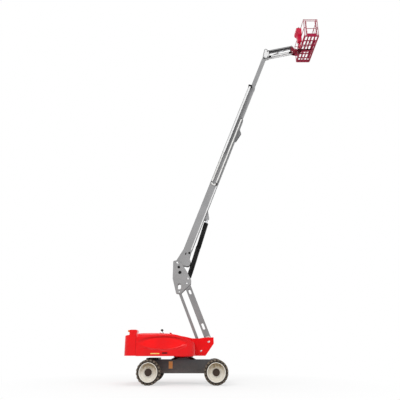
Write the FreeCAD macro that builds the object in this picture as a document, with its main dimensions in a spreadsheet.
import FreeCAD, Part
import math
import os
import Sketcher
from FreeCAD import Placement, Rotation, Vector

# Articulated and telescopic boom lift on four wheels, in millimetres.
# +Z is up, +X is the way the boom reaches, -Y is the side of the cable carrier.
# The origin is on the ground under the slewing axis.

doc = FreeCAD.newDocument("boom_lift")
sheet = doc.addObject("Spreadsheet::Sheet", "sizes")
rows = []
nodes = []
counts = {}


class Dim:
    """A number together with the spreadsheet expression that gives it."""

    def __init__(self, number, text=None):
        self.number = float(number)
        self.text = text if text is not None else "%.6f" % number

    def __add__(self, other):
        other = dim(other)
        return Dim(self.number + other.number, "(%s + %s)" % (self.text, other.text))

    def __sub__(self, other):
        other = dim(other)
        return Dim(self.number - other.number, "(%s - %s)" % (self.text, other.text))

    def __mul__(self, other):
        other = dim(other)
        return Dim(self.number * other.number, "(%s * %s)" % (self.text, other.text))

    def __truediv__(self, other):
        other = dim(other)
        return Dim(self.number / other.number, "(%s / %s)" % (self.text, other.text))

    def __radd__(self, other):
        return dim(other) + self

    def __rsub__(self, other):
        return dim(other) - self

    def __rmul__(self, other):
        return dim(other) * self

    def __neg__(self):
        return Dim(-self.number, "(0 - %s)" % self.text)


def dim(value):
    return value if isinstance(value, Dim) else Dim(value)


def cosine(angle):
    return Dim(math.cos(math.radians(angle.number)), "cos(%s)" % angle.text)


def sine(angle):
    return Dim(math.sin(math.radians(angle.number)), "sin(%s)" % angle.text)


def length_of(dx, dz):
    number = math.hypot(dx.number, dz.number)
    return Dim(number, "sqrt(%s ^ 2 + %s ^ 2)" % (dx.text, dz.text))


def heading(dx, dz):
    number = math.degrees(math.atan2(dz.number, dx.number))
    return Dim(number, "(atan2(%s; %s) / 1 deg)" % (dz.text, dx.text))


def size(alias, value, note):
    """One driving dimension: its note, its number and its alias in a row of the sheet."""
    rows.append(alias)
    row = len(rows)
    sheet.set("A%d" % row, note)
    sheet.set("B%d" % row, "%.6f" % value)
    sheet.setAlias("B%d" % row, alias)
    return Dim(value, "sizes." + alias)


def fresh(kind):
    counts[kind] = counts.get(kind, 0) + 1
    return "%s_%03d" % (kind, counts[kind])


def bind(target, prop, value):
    """Give a property its value, live from the sheet."""
    value = dim(value)
    if "sizes." in value.text:
        target.setExpression(prop, value.text)
    else:
        path = prop.split(".")
        owner = target
        if len(path) == 1:
            setattr(owner, prop, value.number)
        else:
            target.setExpression(prop, value.text)


def at(target, x, y, z):
    for name, value in zip("xyz", (x, y, z)):
        bind(target, "Placement.Base." + name, value)


# ---------------------------------------------------------------- building blocks

TURNS = {
    "x": Rotation(Vector(0, 1, 0), 90),
    "y": Rotation(Vector(-1, 0, 0), 90),
    "z": Rotation(),
}


def box(x0, x1, y0, y1, z0, z1):
    solid = doc.addObject("Part::Box", fresh("box"))
    bind(solid, "Length", dim(x1) - x0)
    bind(solid, "Width", dim(y1) - y0)
    bind(solid, "Height", dim(z1) - z0)
    at(solid, x0, y0, z0)
    return solid


def rod(axis, radius, x, y, z, length):
    """A round bar from a start point along +axis."""
    solid = doc.addObject("Part::Cylinder", fresh("rod"))
    solid.Placement = Placement(Vector(), TURNS[axis])
    bind(solid, "Radius", radius)
    bind(solid, "Height", length)
    at(solid, x, y, z)
    return solid


def pin(radius, x, z, reach):
    """A round bar across the machine, from -reach to +reach."""
    return rod("y", radius, x, -dim(reach), z, dim(reach) * 2)


def cone(radius_low, radius_high, x, y, z, height):
    solid = doc.addObject("Part::Cone", fresh("cone"))
    bind(solid, "Radius1", radius_low)
    bind(solid, "Radius2", radius_high)
    bind(solid, "Height", height)
    at(solid, x, y, z)
    return solid


def fuse(*parts):
    result = doc.addObject("Part::MultiFuse", fresh("fuse"))
    result.Shapes = list(parts)
    return result


def common(first, second):
    result = doc.addObject("Part::Common", fresh("common"))
    result.Base = first
    result.Tool = second
    return result


def cut(base, *tools):
    result = doc.addObject("Part::Cut", fresh("cut"))
    result.Base = base
    result.Tool = tools[0] if len(tools) == 1 else fuse(*tools)
    return result


def mirrored(part):
    """The same piece on the other side of the XZ plane."""
    result = doc.addObject("Part::Mirroring", fresh("mirror"))
    result.Source = part
    result.Normal = Vector(0, 1, 0)
    return result


def both_sides(part):
    return fuse(part, mirrored(part))


def outline(body, plane, points):
    """A closed sketch. A point (x, y) ends a line; (x, y, mx, my) ends an arc through (mx, my)."""
    sketch = body.newObject("Sketcher::SketchObject", fresh("sketch"))
    face = [item for item in body.Origin.OriginFeatures if item.Role == plane][0]
    sketch.AttachmentSupport = [(face, "")]
    sketch.MapMode = "FlatFace"
    ends = [(dim(p[0]), dim(p[1])) for p in points]
    count = len(points)
    corner = []
    for i in range(count):
        start = Vector(ends[i - 1][0].number, ends[i - 1][1].number, 0)
        stop = Vector(ends[i][0].number, ends[i][1].number, 0)
        if len(points[i]) == 4:
            middle = Vector(dim(points[i][2]).number, dim(points[i][3]).number, 0)
            sketch.addGeometry(Part.Arc(start, middle, stop))
        else:
            sketch.addGeometry(Part.LineSegment(start, stop))
        first = (sketch.getPoint(i, 1) - start).Length < 0.001
        corner.append((1, 2) if first else (2, 1))
    for i in range(count):
        after = (i + 1) % count
        sketch.addConstraint(
            Sketcher.Constraint("Coincident", i, corner[i][1], after, corner[after][0])
        )
    for i in range(count):
        for kind, value in zip(("DistanceX", "DistanceY"), ends[i]):
            index = sketch.addConstraint(
                Sketcher.Constraint(kind, -1, 1, i, corner[i][1], value.number)
            )
            if "sizes." in value.text:
                sketch.setExpression("Constraints[%d]" % index, value.text)
    return sketch


def prism(plane, points, low, high):
    """An outline drawn out square to its plane, from low to high."""
    body = doc.addObject("PartDesign::Body", fresh("body"))
    sketch = outline(body, plane, points)
    pad = body.newObject("PartDesign::Pad", fresh("pad"))
    pad.Profile = sketch
    bind(pad, "Length", dim(high) - low)
    sketch.Visibility = False
    if plane == "XZ_Plane":
        at(body, 0, high, 0)
    elif plane == "YZ_Plane":
        at(body, low, 0, 0)
    else:
        at(body, 0, 0, low)
    return body


def plate(points, low, high):
    """A plate standing along the machine, its outline given as x and z."""
    return prism("XZ_Plane", points, low, high)


def twin(points, inner, outer):
    """Two like plates, one each side of the centre line."""
    return both_sides(plate(points, inner, outer))


def turned(points):
    """A solid of revolution about the Y axis, its half section given as radius and y."""
    body = doc.addObject("PartDesign::Body", fresh("body"))
    sketch = outline(body, "XY_Plane", points)
    turn = body.newObject("PartDesign::Revolution", fresh("turn"))
    turn.Profile = sketch
    turn.ReferenceAxis = (sketch, ["V_Axis"])
    turn.Angle = 360
    sketch.Visibility = False
    return body


def hollow(outer_y, z_low, z_high, x_low, x_high, wall):
    """A rectangular tube along X, open at both ends."""
    outside = box(x_low, x_high, -outer_y, outer_y, z_low, z_high)
    inside = box(x_low - 10, x_high + 10, wall - outer_y, outer_y - wall, z_low + wall, z_high - wall)
    return cut(outside, inside)


def slot_hole(x, z, half_length, radius, reach):
    """A long round-ended cutter across the machine, along X."""
    return fuse(
        box(x - half_length + radius, x + half_length - radius, -reach, reach, z - radius, z + radius),
        pin(radius, x - half_length + radius, z, reach),
        pin(radius, x + half_length - radius, z, reach),
    )


def link_bar(length, half_height, inner, outer):
    """Two like round-ended bars from the origin along +X."""
    points = [
        (length, -half_height),
        (length, half_height, length + half_height, 0),
        (0, half_height),
        (0, -half_height, -half_height, 0),
    ]
    return twin(points, inner, outer)


def node(name, solid, x=None, z=None, angle=None):
    """Name a finished piece. With a place, the piece is turned up from level about its own origin."""
    holder = solid
    if angle is not None:
        holder.Placement = Placement(Vector(), Rotation(Vector(0, -1, 0), 10))
        bind(holder, "Placement.Rotation.Angle", angle)
        at(holder, x, 0, z)
    holder.Label = name
    nodes.append((name, holder))
    return holder


# ---------------------------------------------------------------- driving dimensions

wheel_radius = size("wheel_radius", 508, "tyre outside radius")
tyre_width = size("tyre_width", 365, "tyre width")
overall_width = size("overall_width", 2490, "width over the tyres")
wheelbase = size("wheelbase", 2820, "axle to axle")
rim_radius = size("rim_radius", 385, "rim flange radius")
frame_half = size("frame_half", 430, "half width of the chassis box")
frame_top = size("frame_top", 985, "top of the chassis box")
frame_low = size("frame_low", 440, "underside of the chassis box")
kingpin_inset = size("kingpin_inset", 80, "kingpin behind the tyre's inner face")
spindle_radius = size("spindle_radius", 60, "wheel spindle radius")

deck_low = size("deck_low", 1140, "underside of the turntable")
deck_top = size("deck_top", 1180, "top of the turntable deck")
tail_x = size("tail_x", -2580, "rearmost point of the counterweight")
seam_x = size("seam_x", -1975, "front face of the counterweight")
body_half = size("body_half", 1245, "half width over the hoods")
cheek_in = size("cheek_in", 235, "inner face of the turntable side plates")
cheek_out = size("cheek_out", 255, "outer face of the turntable side plates")
skin = size("skin", 25, "hood skin thickness")

riser_x = size("riser_x", 1144, "riser base pin, x")
riser_z = size("riser_z", 1734, "riser base pin, z")
riser_length = size("riser_length", 2751, "riser, pin to pin")
riser_angle = size("riser_angle", 111.7, "riser heading, degrees up from +X")
link_dx = size("link_dx", -338, "lower link pins from the riser pins, x")
link_dz = size("link_dz", -382, "lower link pins from the riser pins, z")
riser_in = size("riser_in", 130, "inner face of the riser side beams")
riser_out = size("riser_out", 170, "outer face of the riser side beams")
tower_room = size("tower_room", 20, "upper tower plates beside boom section 1")
tower_wall = size("tower_wall", 20, "upper tower plate thickness")

boom_angle = size("boom_angle", 69.2, "boom heading, degrees up from +X")
pivot_dx = size("pivot_dx", -468, "boom pivot from the riser top pin, x")
pivot_dz = size("pivot_dz", 984, "boom pivot from the riser top pin, z")
boom_half = size("boom_half", 160, "half width of boom section 1")
tower_in = boom_half + tower_room
tower_out = tower_in + tower_wall
boom_top = size("boom_top", -40, "top of boom section 1 from its pivot")
boom_low = size("boom_low", -420, "underside of boom section 1 from its pivot")
boom_end = size("boom_end", 8430, "front end of boom section 1")
second_half = size("second_half", 115, "half width of boom section 2")
second_end = size("second_end", 10580, "front end of boom section 2")
third_half = size("third_half", 85, "half width of boom section 3")
nose_x = size("nose_x", 12690, "pin at the boom nose, along the boom")
nose_z = size("nose_z", -252, "pin at the boom nose, from the boom pivot line")
section_length = size("section_length", 7850, "length of sections 2 and 3")
boom_wall = size("boom_wall", 10, "boom plate thickness")

jib_length = size("jib_length", 1440, "jib, pin to pin")
jib_angle = size("jib_angle", 13.3, "jib heading, degrees up from +X")
jib_dx = size("jib_dx", 199, "jib pivot from the nose pin, x")
jib_dz = size("jib_dz", 432, "jib pivot from the nose pin, z")
jib_link_dx = size("jib_link_dx", 0, "jib link pins from the jib pins, x")
jib_link_dz = size("jib_link_dz", -370, "jib link pins from the jib pins, z")

basket_length = size("basket_length", 2270, "platform length across the machine")
basket_depth = size("basket_depth", 810, "platform depth along the machine")
basket_gap = size("basket_gap", 250, "platform edge from the rotator axis")
rail_height = size("rail_height", 1100, "top rail above the floor")
tube_radius = size("tube_radius", 17, "platform tube radius")

run_fit = size("run_fit", 0.05, "radial clearance of a pin or rod in its hole")
gap = size("gap", 6, "clearance between pieces that move past each other")

doc.recompute()

wheel_y = overall_width / 2 - tyre_width / 2
axle_x = wheelbase / 2
tyre_in = overall_width / 2 - tyre_width
kingpin_y = tyre_in - kingpin_inset

# pin places that follow from the sizes
top_x = riser_x + riser_length * cosine(riser_angle)
top_z = riser_z + riser_length * sine(riser_angle)
pivot_x = top_x + pivot_dx
pivot_z = top_z + pivot_dz
nose_wx = pivot_x + nose_x * cosine(boom_angle) - nose_z * sine(boom_angle)
nose_wz = pivot_z + nose_x * sine(boom_angle) + nose_z * cosine(boom_angle)
jib_x = nose_wx + jib_dx
jib_z = nose_wz + jib_dz
jib_end_x = jib_x + jib_length * cosine(jib_angle)
jib_end_z = jib_z + jib_length * sine(jib_angle)

# ---------------------------------------------------------------- chassis

half_long = axle_x + 150
frame_side = [
    (-half_long, frame_top),
    (-half_long, 600),
    (-axle_x + 230, 600),
    (-axle_x + 520, frame_low),
    (axle_x - 350, frame_low),
    (axle_x - 230, 600),
    (half_long, 600),
    (half_long, frame_top),
]
frame_core = [
    (-half_long - 30, frame_top - 16),
    (-half_long - 30, 616),
    (-axle_x + 236, 616),
    (-axle_x + 526, frame_low + 16),
    (axle_x - 356, frame_low + 16),
    (axle_x - 236, 616),
    (half_long + 30, 616),
    (half_long + 30, frame_top - 16),
]
frame_tube = cut(
    plate(frame_side, -frame_half, frame_half),
    plate(frame_core, 16 - frame_half, frame_half - 16),
)
end_covers = []
for low in (-half_long, half_long - 16):
    end_covers.append(
        cut(
            box(low, low + 16, 10 - frame_half, frame_half - 10, 610, frame_top - 10),
            box(low - 10, low + 30, -200, 200, 700, 880),
        )
    )
pedestal = fuse(
    common(
        cone(560, 385, 0, 0, frame_top - 5, 95),
        box(-600, 600, -frame_half, frame_half, frame_top - 5, frame_top + 90),
    ),
    rod("z", 385, 0, 0, frame_top + 60, 45),
)
pedestal_bore = rod("z", 280, 0, 0, frame_top - 40, 200)
head_beam = box(-half_long, -axle_x + 360, -700, 700, frame_top, 1052)
tie_down_x = half_long + 60
tie_down_radius = size("tie_down_radius", 28, "tie-down eye radius")
doc.recompute()
tie_downs = []
tie_down_bores = []
for x_sign in (-1, 1):
    low = -half_long - 110 if x_sign < 0 else half_long
    for y_sign in (-1, 1):
        side = y_sign * (frame_half - 60)
        tie_downs.append(box(low, low + 110, side - 55, side + 55, 685, 715))
        tie_down_bores.append(rod("z", tie_down_radius, x_sign * tie_down_x, side, 660, 80))
slew_ring = rod("z", 360, 0, 0, frame_top + 100, 40)
chassis = cut(
    fuse(frame_tube, *end_covers, pedestal, slew_ring, head_beam, *tie_downs),
    pedestal_bore,
    *tie_down_bores,
)
node("chassis_frame", chassis)


def steer_side(y_sign):
    """Yoke plates and their upright at one end of the steering axle."""
    inner = y_sign * (kingpin_y - 200)
    outer = y_sign * (kingpin_y + 45)
    low, high = (outer, inner) if y_sign < 0 else (inner, outer)
    upright = (inner, inner + y_sign * 40)
    u_low, u_high = (upright[1], upright[0]) if y_sign < 0 else upright
    return [
        box(-axle_x - 62, -axle_x + 62, low, high, wheel_radius + 140, wheel_radius + 182),
        box(-axle_x - 62, -axle_x + 62, low, high, wheel_radius - 182, wheel_radius - 140),
        box(-axle_x - 85, -axle_x + 85, u_low, u_high, wheel_radius - 182, wheel_radius + 182),
    ]


axle_low = wheel_radius - 100
tie_z = wheel_radius - 43
arm_reach = 200
pinned = []
for side in (-1, 1):
    pinned.append(
        rod("z", 30 + run_fit, -axle_x, side * kingpin_y, wheel_radius - 200, 400)
    )
steer_bar = cut(
    box(-axle_x + 205 - 45, -axle_x + 205 + 35, -330, 330, tie_z - 45, tie_z + 45),
    rod("y", 22 + run_fit, -axle_x + 200, -340, tie_z, 680),
)
steer_axle = cut(
    fuse(
        box(-axle_x - 100, -axle_x + 100, 180 - kingpin_y, kingpin_y - 180, axle_low, 600),
        box(-axle_x + 95, -axle_x + 165, -120, 120, tie_z - 40, tie_z + 40),
        *steer_side(-1),
        *steer_side(1),
    ),
    *pinned,
)
node("axle_steering", fuse(steer_axle, steer_bar))

hub_in = kingpin_y - 180
fixed_parts = [box(axle_x - 100, axle_x + 100, -hub_in - 20, hub_in + 20, axle_low, 600)]
for side in (-1, 1):
    housing = rod("y", 150, axle_x, 0, wheel_radius, tyre_in + 100 - hub_in)
    spindle = rod("y", spindle_radius, axle_x, 0, wheel_radius, 540)
    flange = rod("y", 185, axle_x, 0, wheel_radius, 40)
    for piece, inner, span in (
        (housing, hub_in, tyre_in + 100 - hub_in),
        (spindle, hub_in - 20, 540),
        (flange, hub_in, 40),
    ):
        start = dim(inner) if side > 0 else -(dim(inner) + span)
        bind(piece, "Placement.Base.y", start)
        fixed_parts.append(piece)
node("axle_fixed", fuse(*fixed_parts))

# tie rod between the steering arms, with a slotted eye over each arm's pin
slot_x = -axle_x + arm_reach
tie_parts = [rod("y", 22, slot_x, -(kingpin_y + 45), tie_z, (kingpin_y + 45) * 2)]
tie_slots = []
for side in (-1, 1):
    centre = side * kingpin_y
    tie_parts.append(box(slot_x - 80, slot_x + 45, centre - 45, centre + 45, tie_z - 15, tie_z + 15))
    tie_slots.append(box(slot_x - 58, slot_x + 22, centre - 24, centre + 24, tie_z - 40, tie_z + 40))
node("steering_tie_rod", cut(fuse(*tie_parts), *tie_slots))


def knuckle(name, side):
    """Kingpin, steering arm and spindle of one steered wheel."""
    y = side * kingpin_y
    end = tyre_in + 100
    pieces = [
        rod("z", 62, -axle_x, y, wheel_radius - 134, 268),
        rod("z", 30, -axle_x, y, wheel_radius - 178, 356),
        box(-axle_x, slot_x + 30, y - 28, y + 28, tie_z - 55, tie_z - 25),
        rod("z", 14, slot_x, y, tie_z - 30, 60),
    ]
    for radius, inner, outer in (
        (105, kingpin_y, tyre_in + 50),
        (132, tyre_in + 45, end),
        (spindle_radius, kingpin_y, kingpin_y + 340),
    ):
        start = inner if side > 0 else -outer
        pieces.append(rod("y", radius, -axle_x, start, wheel_radius, outer - inner))
    node(name, fuse(*pieces))


knuckle("knuckle_left", 1)
knuckle("knuckle_right", -1)

# ---------------------------------------------------------------- wheels
# half sections are drawn for a wheel at the origin whose outer face looks towards +Y

half_tyre = tyre_width / 2
tyre_section = [
    (rim_radius - 38, -half_tyre + 38),
    (rim_radius + 0.4, -half_tyre + 22.6),
    (rim_radius + 12, -half_tyre + 12),
    (wheel_radius - 55, -half_tyre),
    (wheel_radius - 12, -half_tyre + 22, wheel_radius - 22, -half_tyre + 4),
    (wheel_radius, -half_tyre + 70),
    (wheel_radius, half_tyre - 70),
    (wheel_radius - 12, half_tyre - 22),
    (wheel_radius - 55, half_tyre, wheel_radius - 22, half_tyre - 4),
    (rim_radius + 12, half_tyre - 12),
    (rim_radius + 0.4, half_tyre - 22.6),
    (rim_radius - 38, half_tyre - 38),
]
hub_face = tyre_in + 105 - wheel_y
rim_section = [
    (rim_radius, -half_tyre + 6),
    (rim_radius, -half_tyre + 22),
    (rim_radius - 38.3, -half_tyre + 37),
    (rim_radius - 38.3, half_tyre - 37),
    (rim_radius, half_tyre - 22),
    (rim_radius, half_tyre - 6),
    (rim_radius - 14, half_tyre - 2),
    (rim_radius - 52, half_tyre - 34),
    (rim_radius - 60, half_tyre - 60),
    (230, half_tyre - 100, rim_radius - 90, half_tyre - 92),
    (151, half_tyre - 92),
    (151, half_tyre - 110),
    (232, half_tyre - 118),
    (rim_radius - 62, half_tyre - 90, rim_radius - 100, half_tyre - 112),
    (rim_radius - 54, half_tyre - 120),
    (rim_radius - 54, -half_tyre + 38),
    (rim_radius - 14, -half_tyre + 4),
]
hub_section = [
    (spindle_radius + run_fit, hub_face),
    (150, hub_face),
    (150, half_tyre - 62),
    (128, half_tyre - 40, 144, half_tyre - 46),
    (0, half_tyre - 40),
    (0, half_tyre - 96),
    (spindle_radius + run_fit, half_tyre - 96),
]
for name, x, side in (
    ("front_left", axle_x, 1),
    ("front_right", axle_x, -1),
    ("rear_left", -axle_x, 1),
    ("rear_right", -axle_x, -1),
):
    for label, section in (("tyre", tyre_section), ("rim", rim_section), ("hub", hub_section)):
        wheel = turned(section)
        holder = wheel if side > 0 else mirrored(wheel)
        at(holder, x, side * wheel_y, wheel_radius)
        node(label + "_" + name, holder)

# ---------------------------------------------------------------- turntable

cheek_side = [
    (tail_x + 250, deck_low),
    (tail_x + 250, 1910),
    (seam_x, 1985),
    (-1330, 2035),
    (-830, 2035),
    (-478, 2030),
    (60, 1945),
    (380, 1872),
    (650, 1862),
    (900, 1900),
    (riser_x + 195, 1915),
    (riser_x + 203, riser_z - 88),
    (riser_x - 118, 1205),
    (riser_x - 170, deck_low),
]
cheeks = twin(cheek_side, cheek_in, cheek_out)
low_pin_x = riser_x + link_dx
low_pin_z = riser_z + link_dz
ram_x = size("ram_x", 120, "riser cylinder base pin, x")
ram_z = size("ram_z", 1275, "riser cylinder base pin, z")
eye_u = size("eye_u", 250, "riser cylinder eye, along the riser")
eye_v = size("eye_v", -80, "riser cylinder eye, from the riser's pin line")
doc.recompute()


def boss_pair(radius, x, z, inner, outer):
    one = rod("y", radius, x, inner, z, dim(outer) - inner)
    return both_sides(one)


trays = both_sides(box(seam_x + 44, 100, cheek_out - 2, body_half - 62, deck_low, deck_low + 18))
clevis = twin(
    [
        (ram_x - 75, deck_top - 5),
        (ram_x + 75, deck_top - 5),
        (ram_x + 55, ram_z + 20),
        (ram_x - 55, ram_z + 20, ram_x, ram_z + 72),
    ],
    58,
    82,
)
hood_pin_x = [dim(-1050), dim(-600)]
hood_pin_y = size("hood_pin_y", 275, "hood hinge axis, from the centre line")
hood_pin_z = size("hood_pin_z", 2098, "hood hinge axis, height")
hood_pin_radius = size("hood_pin_radius", 8, "hood hinge pin radius")
doc.recompute()
hood_lugs = []
for x in hood_pin_x:
    hood_lugs.append(rod("x", hood_pin_radius, x - 18, hood_pin_y, hood_pin_z, dim(76)))
    for low in (x - 18, x + 46):
        hood_lugs.append(box(low, low + 12, cheek_in, hood_pin_y + 5, 1950, hood_pin_z))
        hood_lugs.append(rod("x", 14, low, hood_pin_y, hood_pin_z, dim(12)))
turntable = fuse(
    cheeks,
    both_sides(fuse(*hood_lugs)),
    box(tail_x + 250, riser_x - 172, -cheek_in - 5, cheek_in + 5, deck_low, deck_top),
    cut(
        rod("z", 430, 0, 0, deck_low - 45, 50),
        rod("z", 372, 0, 0, deck_low - 50, 55),
    ),
    trays,
    box(riser_x - 215, riser_x - 200, -cheek_in - 5, cheek_in + 5, deck_top - 5, 1262),
    clevis,
    pin(35, ram_x, ram_z, 84),
    pin(45, riser_x, riser_z, cheek_out + 8),
    boss_pair(85, riser_x, riser_z, riser_out + 8, cheek_in + 5),
    pin(35, low_pin_x, low_pin_z, cheek_out + 8),
    boss_pair(65, low_pin_x, low_pin_z, riser_out + 8, cheek_in + 5),
)
node("turntable_frame", turntable)

# counterweight: a heavy casting round the tail, with a trough for the folded tower
cast_top = [
    (seam_x, -body_half + 20),
    (seam_x, body_half - 20),
    (tail_x + 330, body_half - 20),
    (tail_x + 110, 880, tail_x + 180, body_half - 115),
    (tail_x + 110, -880, tail_x, 0),
    (tail_x + 330, -body_half + 20, tail_x + 180, -body_half + 115),
]
cast_side = [
    (seam_x, 1152),
    (seam_x, 2035),
    (tail_x + 320, 1985, tail_x + 450, 2018),
    (tail_x - 20, 1880, tail_x + 120, 1950),
    (tail_x - 20, 1152),
]
casting = common(
    prism("XY_Plane", cast_top, 1100, 2300),
    plate(cast_side, -body_half, body_half),
)
hump_side = [
    (tail_x + 270, 1900),
    (seam_x - 10, 1900),
    (seam_x - 10, 2120),
    (seam_x - 70, 2213, seam_x - 22, 2195),
    (tail_x + 320, 2213),
    (tail_x + 270, 2160, tail_x + 284, 2198),
]
node(
    "counterweight",
    fuse(
        cut(casting, box(tail_x + 250, 0, -cheek_out, cheek_out, 1000, 2400)),
        plate(hump_side, -900, -400),
    ),
)
node("engine_block", box(-1800, -500, 360, 1050, deck_low + 18, 1860))
node("hydraulic_tank", box(-1780, -620, -1020, -380, deck_low + 18, 1700))


def hood_block(inset, deeper):
    """The space inside the hood's skin, or with no inset the whole of its outside."""
    front = 540 - inset
    side_z = [
        (seam_x + 10 + inset, 1145 - deeper),
        (430 - inset, 1145 - deeper),
        (front - 5, 1240, front - 25, 1172),
        (470 - inset, 1705 - inset, 530 - inset, 1470),
        (-800, 2052 - inset, -120, 1958 - inset),
        (seam_x + 10 + inset, 2030 - inset, -1400, 2082 - inset),
    ]
    from_top = [
        (seam_x + 10 + inset, 285 - deeper),
        (front, 285 - deeper),
        (front, 760),
        (120, body_half - inset, 400 - inset, 1130 - inset),
        (seam_x + 10 + inset, body_half - inset),
    ]
    from_front = [
        (285 - deeper, 1100 - deeper),
        (body_half - inset - 12, 1100 - deeper),
        (body_half - inset, 1500),
        (body_half - inset - 25, 1850),
        (body_half - inset - 210, 2060 - inset, body_half - inset - 75, 1990 - inset),
        (285 - deeper, 2120 - inset),
    ]
    return common(
        common(
            plate(side_z, 200, 1300),
            prism("XY_Plane", from_top, 1000, 2200),
        ),
        prism("YZ_Plane", from_front, -2100, 700),
    )


hood_eyes = []
hood_bores = []
for x in hood_pin_x:
    hood_eyes.append(box(x, x + 40, hood_pin_y - 8, hood_pin_y + 50, 2020, hood_pin_z - 2))
    hood_eyes.append(rod("x", 14, x, hood_pin_y, hood_pin_z, dim(40)))
    hood_bores.append(rod("x", hood_pin_radius + run_fit, x - 10, hood_pin_y, hood_pin_z, dim(60)))
hood_shell = cut(hood_block(dim(0), dim(0)), hood_block(skin, dim(60)))
hood = cut(fuse(hood_shell, *hood_eyes), *hood_bores)
node("hood_left", hood)
node("hood_right", mirrored(hood))

# ---------------------------------------------------------------- riser and lower link

riser_bars = cut(
    link_bar(riser_length, dim(135), riser_in, riser_out),
    slot_hole(dim(706), 0, 155, 62, 300),
    slot_hole(riser_length - 391, 0, 133, 60, 300),
)
riser = cut(
    fuse(
        riser_bars,
        pin(78, 0, 0, riser_out),
        pin(72, riser_length, 0, riser_out),
        pin(60, riser_length * 0.41, 0, riser_in + 5),
        pin(60, riser_length * 0.70, 0, riser_in + 5),
        boss_pair(62, eye_u, eye_v, 58, riser_in + 5),
    ),
    pin(45 + run_fit, 0, 0, 400),
    pin(45 + run_fit, riser_length, 0, 400),
)
node("riser_arm", riser, riser_x, riser_z, riser_angle)

link = cut(
    fuse(
        link_bar(riser_length, dim(65), riser_in + 5, riser_out - 5),
        pin(45, riser_length * 0.70, 0, riser_in + 10),
    ),
    pin(35 + run_fit, 0, 0, 400),
    pin(35 + run_fit, riser_length, 0, 400),
)
node("riser_link", link, low_pin_x, low_pin_z, riser_angle)


def cylinder_barrel(outer, bore, rod_radius, eye, half_width, pin_radius, start, reach):
    """Barrel with its base eye at the origin, running along +X from start to its gland."""
    return cut(
        fuse(
            rod("x", half_width - 4, eye * 0.5, 0, 0, dim(start) - eye * 0.5 + 10),
            rod("x", outer, start, 0, 0, dim(reach) - start - 60),
            rod("x", outer + 6, dim(reach) - 70, 0, 0, 70),
            pin(eye, 0, 0, half_width),
        ),
        rod("x", bore, dim(start) + 30, 0, 0, dim(reach) - start - 90),
        rod("x", rod_radius + run_fit, dim(reach) - 80, 0, 0, 100),
        pin(pin_radius + run_fit, 0, 0, 300),
    )


def cylinder_rod(length, whole, radius, bore, eye, half_width, pin_radius, neck):
    """Rod whose eye centre is at length along +X and whose piston end is whole behind it."""
    start = dim(length) - whole
    return cut(
        fuse(
            rod("x", radius, start, 0, 0, dim(whole) - neck),
            rod("x", min(radius, half_width - 2), dim(length) - neck - 5, 0, 0, dim(neck) + 5 - eye * 0.5),
            rod("x", dim(bore) - run_fit, start, 0, 0, 60),
            pin(eye, length, 0, half_width),
        ),
        pin(pin_radius, length, 0, 300),
    )


ram_eye_x = riser_x + eye_u * cosine(riser_angle) - eye_v * sine(riser_angle)
ram_eye_z = riser_z + eye_u * sine(riser_angle) + eye_v * cosine(riser_angle)
ram_heading = heading(ram_eye_x - ram_x, ram_eye_z - ram_z)
ram_length = length_of(ram_eye_x - ram_x, ram_eye_z - ram_z)
node("riser_cylinder", cylinder_barrel(72, 58, 45, 68, 50, 35, 88, 640), ram_x, ram_z, ram_heading)
node("riser_rod", cylinder_rod(ram_length, 750, 45, 58, 62, 48, 30, 70), ram_x, ram_z, ram_heading)

# ---------------------------------------------------------------- upper tower

tower_pin_x = top_x + link_dx
tower_pin_z = top_z + link_dz
lift_dx = size("lift_dx", 54, "boom cylinder base pin from the riser top pin, x")
lift_dz = size("lift_dz", 216, "boom cylinder base pin from the riser top pin, z")
doc.recompute()
lift_x = top_x + lift_dx
lift_z = top_z + lift_dz
tower_side = [
    (top_x - 660, top_z + 1044),
    (top_x - 405, top_z + 1078, top_x - 560, top_z + 1086),
    (top_x - 134, top_z + 766),
    (top_x + 32, top_z + 494),
    (top_x + 193, top_z + 175),
    (top_x + 185, top_z + 5),
    (top_x - 297, top_z - 463),
    (top_x - 504, top_z - 423),
    (top_x - 670, top_z + 239),
]
tower_holes = [
    pin(34, top_x - 391, top_z + 770, 300),
    pin(46, top_x - 336, top_z + 522, 300),
    fuse(
        box(top_x - 433, top_x - 273, -300, 300, top_z - 183, top_z - 73),
        pin(80, top_x - 353, top_z - 183, 300),
        pin(80, top_x - 353, top_z - 73, 300),
    ),
]
tower = fuse(
    cut(twin(tower_side, tower_in, tower_out), *tower_holes),
    box(top_x - 655, top_x - 640, -tower_in - 5, tower_in + 5, top_z + 260, top_z + 1000),
    pin(45, top_x, top_z, tower_out + 12),
    pin(35, tower_pin_x, tower_pin_z, tower_out + 12),
    pin(50, pivot_x, pivot_z, tower_out + 12),
    pin(40, lift_x, lift_z, tower_out + 12),
    boss_pair(75, lift_x, lift_z, 70, tower_in + 5),
)
node("upper_tower", tower)

# ---------------------------------------------------------------- boom sections

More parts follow.
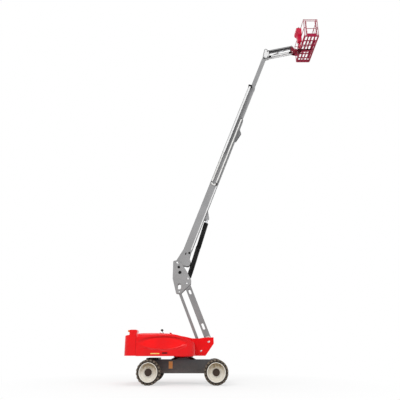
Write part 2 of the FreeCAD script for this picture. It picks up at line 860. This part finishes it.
lug_x = size("lug_x", 2614, "boom cylinder top pin, along the boom")
lug_z = size("lug_z", -553, "boom cylinder top pin, from the boom pivot")
doc.recompute()
foot_side = [
    (-85, 70),
    (110, 78, 10, 112),
    (720, boom_top + 4),
    (720, boom_low - 4),
    (400, boom_low - 40),
    (279, -586),
    (165, -590),
    (10, -430, 40, -545),
    (-75, -120),
]
slot_cut = fuse(
    box(520, 585, -300, 300, -240, -200),
    pin(20, 520, -220, 300),
    pin(20, 585, -220, 300),
)
lug_side = [
    (lug_x - 170, boom_low + 6),
    (lug_x - 60, lug_z - 60),
    (lug_x + 60, lug_z - 60, lug_x, lug_z - 86),
    (lug_x + 420, boom_low + 6),
]
rest_side = [
    (7080, boom_low + 6),
    (7100, -480),
    (7632, -584),
    (7825, -450),
    (7840, boom_low + 6),
]
carrier_in = boom_half + 20
carrier_out = boom_half + 100
guide = fuse(
    box(4500, boom_end - 40, -carrier_out, -carrier_in + 2, -378, -372),
    box(4500, boom_end - 40, -carrier_in - 4, -carrier_in + 2, -378, -282),
    *[
        box(station, station + 60, -carrier_in, -boom_half + 4, -360, -300)
        for station in (4600, 5600, 6600, 7600, 8250)
    ],
)
section_1 = cut(
    fuse(
        hollow(boom_half, boom_low, boom_top, dim(560), boom_end, boom_wall),
        cut(
            box(boom_end - 110, boom_end, -boom_half - 12, boom_half + 12, boom_low - 12, boom_top + 12),
            box(boom_end - 130, boom_end + 30, -boom_half + 5, boom_half - 5, boom_low + 5, boom_top - 5),
        ),
        twin(foot_side, boom_half - 20, boom_half + 4),
        pin(82, 0, 0, boom_half + 10),
        twin(lug_side, 70, 95),
        boss_pair(80, lug_x, lug_z, 64, 98),
        plate(rest_side, -45, 45),
        guide,
    ),
    pin(50 + run_fit, 0, 0, 400),
    slot_cut,
    pin(32, 643, -363, 400),
)
node("boom_section_1", section_1, pivot_x, pivot_z, boom_angle)

second_low = size("second_low", -385, "underside of boom section 2")
second_top = size("second_top", -85, "top of boom section 2")
third_low = size("third_low", -362, "underside of boom section 3")
third_top = size("third_top", -142, "top of boom section 3")
doc.recompute()
head = second_end - 120
section_2 = fuse(
    hollow(second_half, second_low, second_top, second_end - section_length, second_end, 8),
    cut(
        box(head, second_end, -second_half - 12, second_half + 12, second_low - 12, second_top + 12),
        box(head - 10, second_end + 10, -second_half + 4, second_half - 4, second_low + 4, second_top - 4),
    ),
    box(head + 5, second_end - 10, -carrier_out - 6, -second_half - 8, -200, -30),
)
node("boom_section_2", section_2, pivot_x, pivot_z, boom_angle)

carrier = cut(
    box(6200, head + 5, -carrier_out, -carrier_in, -175, -45),
    box(6190, head - 80, -carrier_out + 5, -carrier_in - 5, -170, -50),
)
node("cable_carrier", carrier, pivot_x, pivot_z, boom_angle)

# the cable chain lies in its guide, bends back and runs forward into the carrier
chain_bend_x = size("chain_bend_x", 4436, "centre of the cable chain's bend, along the boom")
chain_bend_z = size("chain_bend_z", -222, "centre of the cable chain's bend, from the boom pivot")
chain_inner = size("chain_inner", 84, "inside radius of the cable chain's bend")
chain_height = size("chain_height", 65.7, "height of the cable chain")
doc.recompute()
chain_outer = chain_inner + chain_height


def chain_band(inset, longer):
    """The chain's outside, or with an inset the space for the hoses inside it."""
    inner = chain_inner + inset
    outer = chain_outer - inset
    end = boom_end - 50 + longer
    return plate(
        [
            (6500 + longer, chain_bend_z + inner),
            (6500 + longer, chain_bend_z + outer),
            (chain_bend_x, chain_bend_z + outer),
            (chain_bend_x, chain_bend_z - outer, chain_bend_x - outer, chain_bend_z),
            (end, chain_bend_z - outer),
            (end, chain_bend_z - inner),
            (chain_bend_x, chain_bend_z - inner),
            (chain_bend_x, chain_bend_z + inner, chain_bend_x - inner, chain_bend_z),
        ],
        10 + inset - carrier_out,
        -carrier_in - inset - 10,
    )


chain = cut(chain_band(dim(0), dim(0)), chain_band(dim(9), dim(10)))
node("cable_chain", chain, pivot_x, pivot_z, boom_angle)

nose_plate = [
    (nose_x - 260, nose_z - 95),
    (nose_x, nose_z - 95),
    (nose_x, nose_z + 95, nose_x + 95, nose_z),
    (nose_x - 260, nose_z + 95),
]
third_start = nose_x - 170 - section_length
section_3 = cut(
    fuse(
        hollow(third_half, third_low, third_top, third_start, nose_x - 120, 8),
        twin(nose_plate, third_half - 24, third_half),
    ),
    pin(30 + run_fit, nose_x, nose_z, 400),
)
node("boom_section_3", section_3, pivot_x, pivot_z, boom_angle)

lift_eye_x = pivot_x + lug_x * cosine(boom_angle) - lug_z * sine(boom_angle)
lift_eye_z = pivot_z + lug_x * sine(boom_angle) + lug_z * cosine(boom_angle)
lift_heading = heading(lift_eye_x - lift_x, lift_eye_z - lift_z)
lift_length = length_of(lift_eye_x - lift_x, lift_eye_z - lift_z)
node("boom_cylinder", cylinder_barrel(112, 98, 84, 84, 62, 40, 105, 1640), lift_x, lift_z, lift_heading)
node("boom_rod", cylinder_rod(lift_length, 1790, 84, 98, 70, 58, 38, 270), lift_x, lift_z, lift_heading)

# ---------------------------------------------------------------- jib

link_left_x = jib_x + jib_link_dx
link_left_z = jib_z + jib_link_dz
jack_u = size("jack_u", 930, "jib cylinder eye, along the jib")
jack_v = size("jack_v", -80, "jib cylinder eye, from the jib's pin line")
doc.recompute()
jack_x = link_left_x
jack_z = link_left_z
bracket_in = third_half + 7
bracket_out = third_half + 22
bracket_side = [
    (nose_wx - 75, nose_wz - 10),
    (nose_wx - 62, nose_wz + 120, nose_wx - 78, nose_wz + 50),
    (jib_x - 175, jib_z + 75),
    (jib_x - 95, jib_z + 150, jib_x - 150, jib_z + 128),
    (jib_x + 70, jib_z + 35),
    (jib_x + 85, jib_z - 60),
    (link_left_x + 68, link_left_z + 10),
    (link_left_x - 25, link_left_z - 58, link_left_x + 40, link_left_z - 52),
    (nose_wx + 15, nose_wz - 74),
]
bracket = fuse(
    twin(bracket_side, bracket_in, bracket_out),
    pin(30, nose_wx, nose_wz, bracket_out + 6),
    pin(26, jib_x, jib_z, bracket_out + 6),
    pin(20, link_left_x, link_left_z, bracket_out + 6),
)
node("boom_head_bracket", bracket)

jib_half = size("jib_half", 75, "half height of the jib arm")
jib_link_half = size("jib_link_half", 60, "half height of the jib's lower link")
doc.recompute()
jack_lug = [
    (jack_u - 110, 5 - jib_half),
    (jack_u - 32, jack_v - 12),
    (jack_u + 32, jack_v - 12, jack_u, jack_v - 34),
    (jack_u + 110, 5 - jib_half),
]
jib_arm = cut(
    fuse(
        link_bar(jib_length, jib_half, 50, 65),
        twin(jack_lug, 50, 65),
        boss_pair(26, jack_u, jack_v, 30, 60),
        box(230, jack_u - 270, -60, 60, jib_half - 15, jib_half),
        box(jack_u + 120, jib_length - 130, -60, 60, jib_half - 15, jib_half),
        box(jack_u + 140, jib_length - 130, -60, 60, -jib_half, 12 - jib_half),
        pin(42, jib_length, 0, 65),
    ),
    pin(26 + run_fit, 0, 0, 200),
    pin(26 + run_fit, jib_length, 0, 200),
)
node("jib_arm", jib_arm, jib_x, jib_z, jib_angle)

jib_link = cut(
    link_bar(jib_length, jib_link_half, 71, 85),
    pin(20 + run_fit, 0, 0, 200),
    pin(20 + run_fit, jib_length, 0, 200),
)
node("jib_link", jib_link, link_left_x, link_left_z, jib_angle)

jack_eye_x = jib_x + jack_u * cosine(jib_angle) - jack_v * sine(jib_angle)
jack_eye_z = jib_z + jack_u * sine(jib_angle) + jack_v * cosine(jib_angle)
jack_heading = heading(jack_eye_x - jack_x, jack_eye_z - jack_z)
jack_length = length_of(jack_eye_x - jack_x, jack_eye_z - jack_z)
node("jib_cylinder", cylinder_barrel(36, 28, 20, 36, 30, 20, 40, 719), jack_x, jack_z, jack_heading)
node("jib_rod", cylinder_rod(jack_length, 706, 20, 28, 30, 26, 16, 45), jack_x, jack_z, jack_heading)

# ---------------------------------------------------------------- platform

link_right_x = jib_end_x + jib_link_dx
link_right_z = jib_end_z + jib_link_dz
turn_x = jib_end_x + 250
turn_z = jib_end_z - 165
floor_low = turn_z + 35
mast_side = [
    (jib_end_x - 55, jib_end_z),
    (jib_end_x + 30, jib_end_z + 50, jib_end_x - 12, jib_end_z + 57),
    (turn_x - 70, turn_z - 35),
    (turn_x - 70, turn_z - 311),
    (link_right_x - 30, link_right_z - 50),
    (link_right_x - 48, link_right_z + 10, link_right_x - 50, link_right_z - 25),
]
mast = fuse(
    twin(mast_side, bracket_in, bracket_out),
    box(turn_x - 92, turn_x - 70, -bracket_out, bracket_out, turn_z - 311, turn_z - 45),
    rod("z", 82, turn_x, 0, turn_z - 312, 285),
    rod("z", 40, turn_x, 0, turn_z - 352, 364),
    pin(26, jib_end_x, jib_end_z, bracket_out + 6),
    pin(20, link_right_x, link_right_z, bracket_out + 6),
)
node("platform_mast", mast)

support_arm = [
    (turn_x + 100, turn_z - 348),
    (turn_x + 135, turn_z - 348),
    (turn_x + 330, floor_low - 130),
    (turn_x + basket_gap + basket_depth - 120, floor_low - 70),
    (turn_x + basket_gap + basket_depth - 120, floor_low),
    (turn_x + 100, floor_low),
]
support = cut(
    fuse(
        plate(support_arm, -60, 60),
        rod("z", 92, turn_x, 0, turn_z - 348, 30),
        box(turn_x, turn_x + 110, -60, 60, turn_z - 348, turn_z - 318),
        rod("z", 92, turn_x, 0, turn_z - 21, 28),
        box(turn_x, turn_x + 110, -60, 60, turn_z - 21, turn_z + 7),
        box(turn_x + 420, turn_x + 500, -700, 700, floor_low - 60, floor_low),
        box(turn_x + 860, turn_x + 930, -700, 700, floor_low - 60, floor_low),
    ),
    rod("z", 40 + run_fit, turn_x, 0, turn_z - 400, 500),
)
node("platform_support", support)

floor_top = floor_low + 30
near = turn_x + basket_gap
far = near + basket_depth
half = basket_length / 2
openings = []
cell_x = (basket_depth - 80) / 4
cell_y = (basket_length - 90) / 6
for i in range(4):
    for j in range(6):
        x0 = near + 40 + cell_x * i + 34
        y0 = 45 - half + cell_y * j + 32
        x1 = x0 + cell_x - 68
        y1 = y0 + cell_y - 64
        low = floor_low - 5
        openings.append(
            fuse(
                box(x0 + 20, x1 - 20, y0, y1, low, floor_top + 5),
                box(x0, x1, y0 + 20, y1 - 20, low, floor_top + 5),
                *[rod("z", 20, x, y, low, 40) for x in (x0 + 20, x1 - 20) for y in (y0 + 20, y1 - 20)],
            )
        )
corner = 60
floor_plan = [
    (near + corner, -half, near + 18, 18 - half),
    (far - corner, -half),
    (far, corner - half, far - 18, 18 - half),
    (far, half - corner),
    (far - corner, half, far - 18, half - 18),
    (near + corner, half),
    (near, half - corner, near + 18, half - 18),
    (near, corner - half),
]
node("platform_floor", cut(prism("XY_Plane", floor_plan, floor_low, floor_top), *openings))

rail_top = floor_top + rail_height
rail_radius = tube_radius - 1
post_x = [near + 25, far - 25]
end_y = half - 25
gate_x0 = near + 105
gate_x1 = far - 105
hinge_x = gate_x0 + 45
lower_z = floor_top + 560
corner_tall = rail_height + tube_radius + 2


def long_panel(x):
    """Four posts, two rails and a toe board along one long side of the platform."""
    pieces = [box(x - 4, x + 4, -end_y, end_y, floor_top, floor_top + 150)]
    for y, tall in (
        (-end_y, corner_tall),
        (dim(-390), rail_height - 5),
        (dim(390), rail_height - 5),
        (end_y, corner_tall),
    ):
        pieces.append(rod("z", tube_radius, x, y, floor_top, tall))
    for z in (rail_top, lower_z):
        pieces.append(rod("y", rail_radius, x, 5 - end_y, z, end_y * 2 - 10))
    return pieces


anchor_radius = size("anchor_radius", 15, "lanyard anchor eye radius")
doc.recompute()
board_face = post_x[0] + 4
anchor = cut(
    fuse(
        box(board_face, board_face + 12, 660, 740, floor_top + 40, floor_top + 140),
        box(board_face, board_face + 82, 660, 740, floor_top + 124, floor_top + 140),
    ),
    rod("z", anchor_radius, board_face + 50, 700, floor_top + 100, 60),
)
node("lanyard_anchors", both_sides(anchor))
node("rails_inboard", fuse(*long_panel(post_x[0])))
node("rails_outboard", fuse(*long_panel(post_x[1])))

side_start = post_x[0] + tube_radius
side_end = post_x[1] - tube_radius
closed_side = [box(side_start, side_end, end_y - 4, end_y + 4, floor_top, floor_top + 150)]
for z in (rail_top, lower_z):
    closed_side.append(rod("x", rail_radius, side_start, end_y, z, side_end - side_start))
middle_x = near + basket_depth / 2
closed_side.append(rod("z", tube_radius, middle_x, end_y, floor_top, rail_height - 5))
node("rails_left", fuse(*closed_side))

gate_frame = []
for x, start, stop in (
    (gate_x0, side_start, gate_x0 + 5),
    (gate_x1, gate_x1 - 5, side_end),
):
    gate_frame.append(rod("z", tube_radius, x, -end_y, floor_top, corner_tall))
    gate_frame.append(rod("x", rail_radius, start, -end_y, lower_z, stop - start))
gate_frame.append(rod("x", rail_radius, side_start, -end_y, rail_top, side_end - side_start))
hinge_bores = []
for z in (floor_top + 250, floor_top + 860):
    gate_frame.append(box(gate_x0, hinge_x + 26, -end_y - 26, 26 - end_y, z, z + 14))
    hinge_bores.append(rod("z", tube_radius + run_fit, hinge_x, -end_y, z - 10, 40))
node("rails_gate_side", cut(fuse(*gate_frame), *hinge_bores))

leaf_low = floor_top + 12
leaf_end = gate_x1 - 45
leaf_top = leaf_low + rail_height - 100
leaf = fuse(
    rod("z", tube_radius, hinge_x, -end_y, leaf_low, rail_height - 100 + tube_radius + 2),
    rod("z", tube_radius, leaf_end, -end_y, leaf_low, rail_height - 100 + tube_radius + 2),
    rod("x", rail_radius, hinge_x + 5, -end_y, leaf_top, leaf_end - hinge_x - 10),
    rod("x", rail_radius, hinge_x + 5, -end_y, leaf_low + 480, leaf_end - hinge_x - 10),
    box(hinge_x, leaf_end, -end_y - 4, 4 - end_y, leaf_low, leaf_low + 140),
)
node("platform_gate", leaf)

console_back = near + 24.7 - tube_radius
console_side = [
    (near - 60, rail_top - 560),
    (console_back, rail_top - 560),
    (console_back, rail_top - 150),
    (near - 20, rail_top - 138),
    (near - 190, rail_top - 122, near - 105, rail_top - 128),
    (near - 290, rail_top - 240, near - 268, rail_top - 150),
    (near - 290, rail_top - 330),
]
column_side = [
    (near - 215, rail_top - 340),
    (near - 195, floor_top + 215),
    (console_back, floor_top + 215),
    (console_back, rail_top - 340),
]
node("control_console", fuse(plate(console_side, -620, -100), plate(column_side, -440, -220)))

# ---------------------------------------------------------------- check and write

doc.recompute()
for item in doc.Objects:
    bad = [word for word in item.State if word in ("Invalid", "Error")]
    if bad:
        raise RuntimeError("%s (%s): %s" % (item.Name, item.Label, item.State))
    shape = getattr(item, "Shape", None)
    if shape is None or item.TypeId == "App::Plane":
        continue
    if item.TypeId.startswith(("Part::", "PartDesign::Body")):
        if shape.isNull() or not shape.isValid():
            raise RuntimeError("%s (%s) has a bad shape" % (item.Name, item.Label))

os.makedirs("parts", exist_ok=True)
for name, item in nodes:
    item.Shape.exportStep(os.path.join("parts", name + ".step"))
